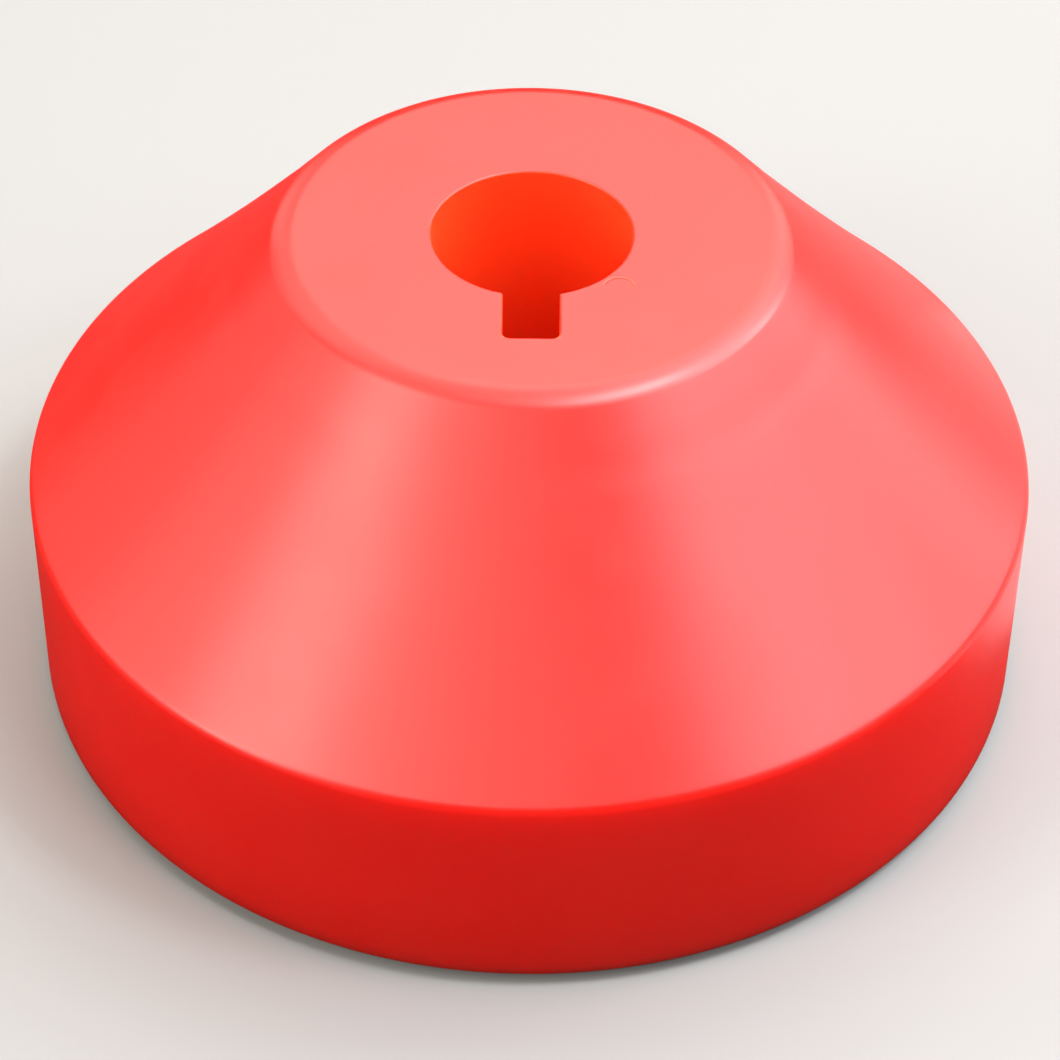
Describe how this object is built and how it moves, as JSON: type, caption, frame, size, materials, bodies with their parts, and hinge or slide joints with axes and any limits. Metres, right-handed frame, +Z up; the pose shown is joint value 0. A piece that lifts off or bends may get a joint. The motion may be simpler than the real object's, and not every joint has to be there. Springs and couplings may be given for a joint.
{
  "type": "vacuum suction cup",
  "caption": "Thick cone-shaped vacuum suction cup with a slotted central bore, a hollow ribbed underside and a soft base seal ring.",
  "frame": {"origin": "on the cup's axis, at the lowest face of the base seal ring", "axes": "+Z up along the cup's axis, from the base to the flat top face; -Y towards the slot beside the bore"},
  "size_m": [0.155, 0.155, 0.0795],
  "materials": {
    "cast_polyurethane": "smooth satin, slightly see-through cast polyurethane",
    "soft_rubber": "matt moulded soft rubber",
    "zinc_plated_steel": "turned and zinc plated",
    "nitrile_rubber": "smooth moulded nitrile"
  },
  "bodies": {
    "root": {"cup_body": "cast_polyurethane", "base_seal_ring": "soft_rubber", "anchor_ring": "zinc_plated_steel", "stem_o_ring": "nitrile_rubber"}
  },
  "joints": []
}
